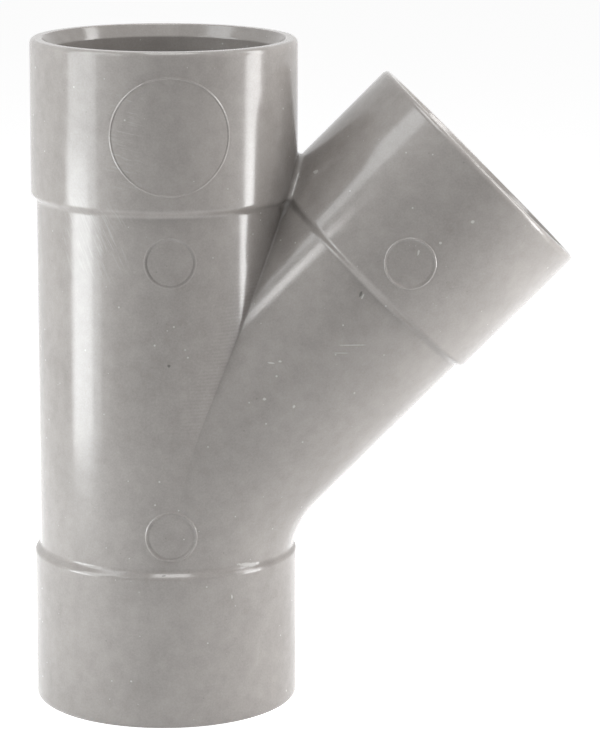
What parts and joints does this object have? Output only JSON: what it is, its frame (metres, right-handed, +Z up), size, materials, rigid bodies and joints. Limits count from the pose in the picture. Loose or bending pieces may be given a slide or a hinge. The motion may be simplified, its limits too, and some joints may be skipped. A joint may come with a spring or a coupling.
{
  "type": "lateral wye fitting",
  "caption": "Grey plastic 45 degree lateral wye with a straight run, an angled branch and three sockets for glued pipe.",
  "frame": {"origin": "centre of the run's lower mouth, in the plane of its rim", "axes": "+Z up the run's axis, +X towards the branch, which rises at 45 degrees in the XZ plane"},
  "size_m": [0.0947, 0.0466, 0.118],
  "materials": {
    "grey_pvc": "moulded rigid PVC in warm light grey, satin gloss with fine scuffs"
  },
  "bodies": {
    "root": {"wye_body": "grey_pvc"}
  },
  "joints": []
}
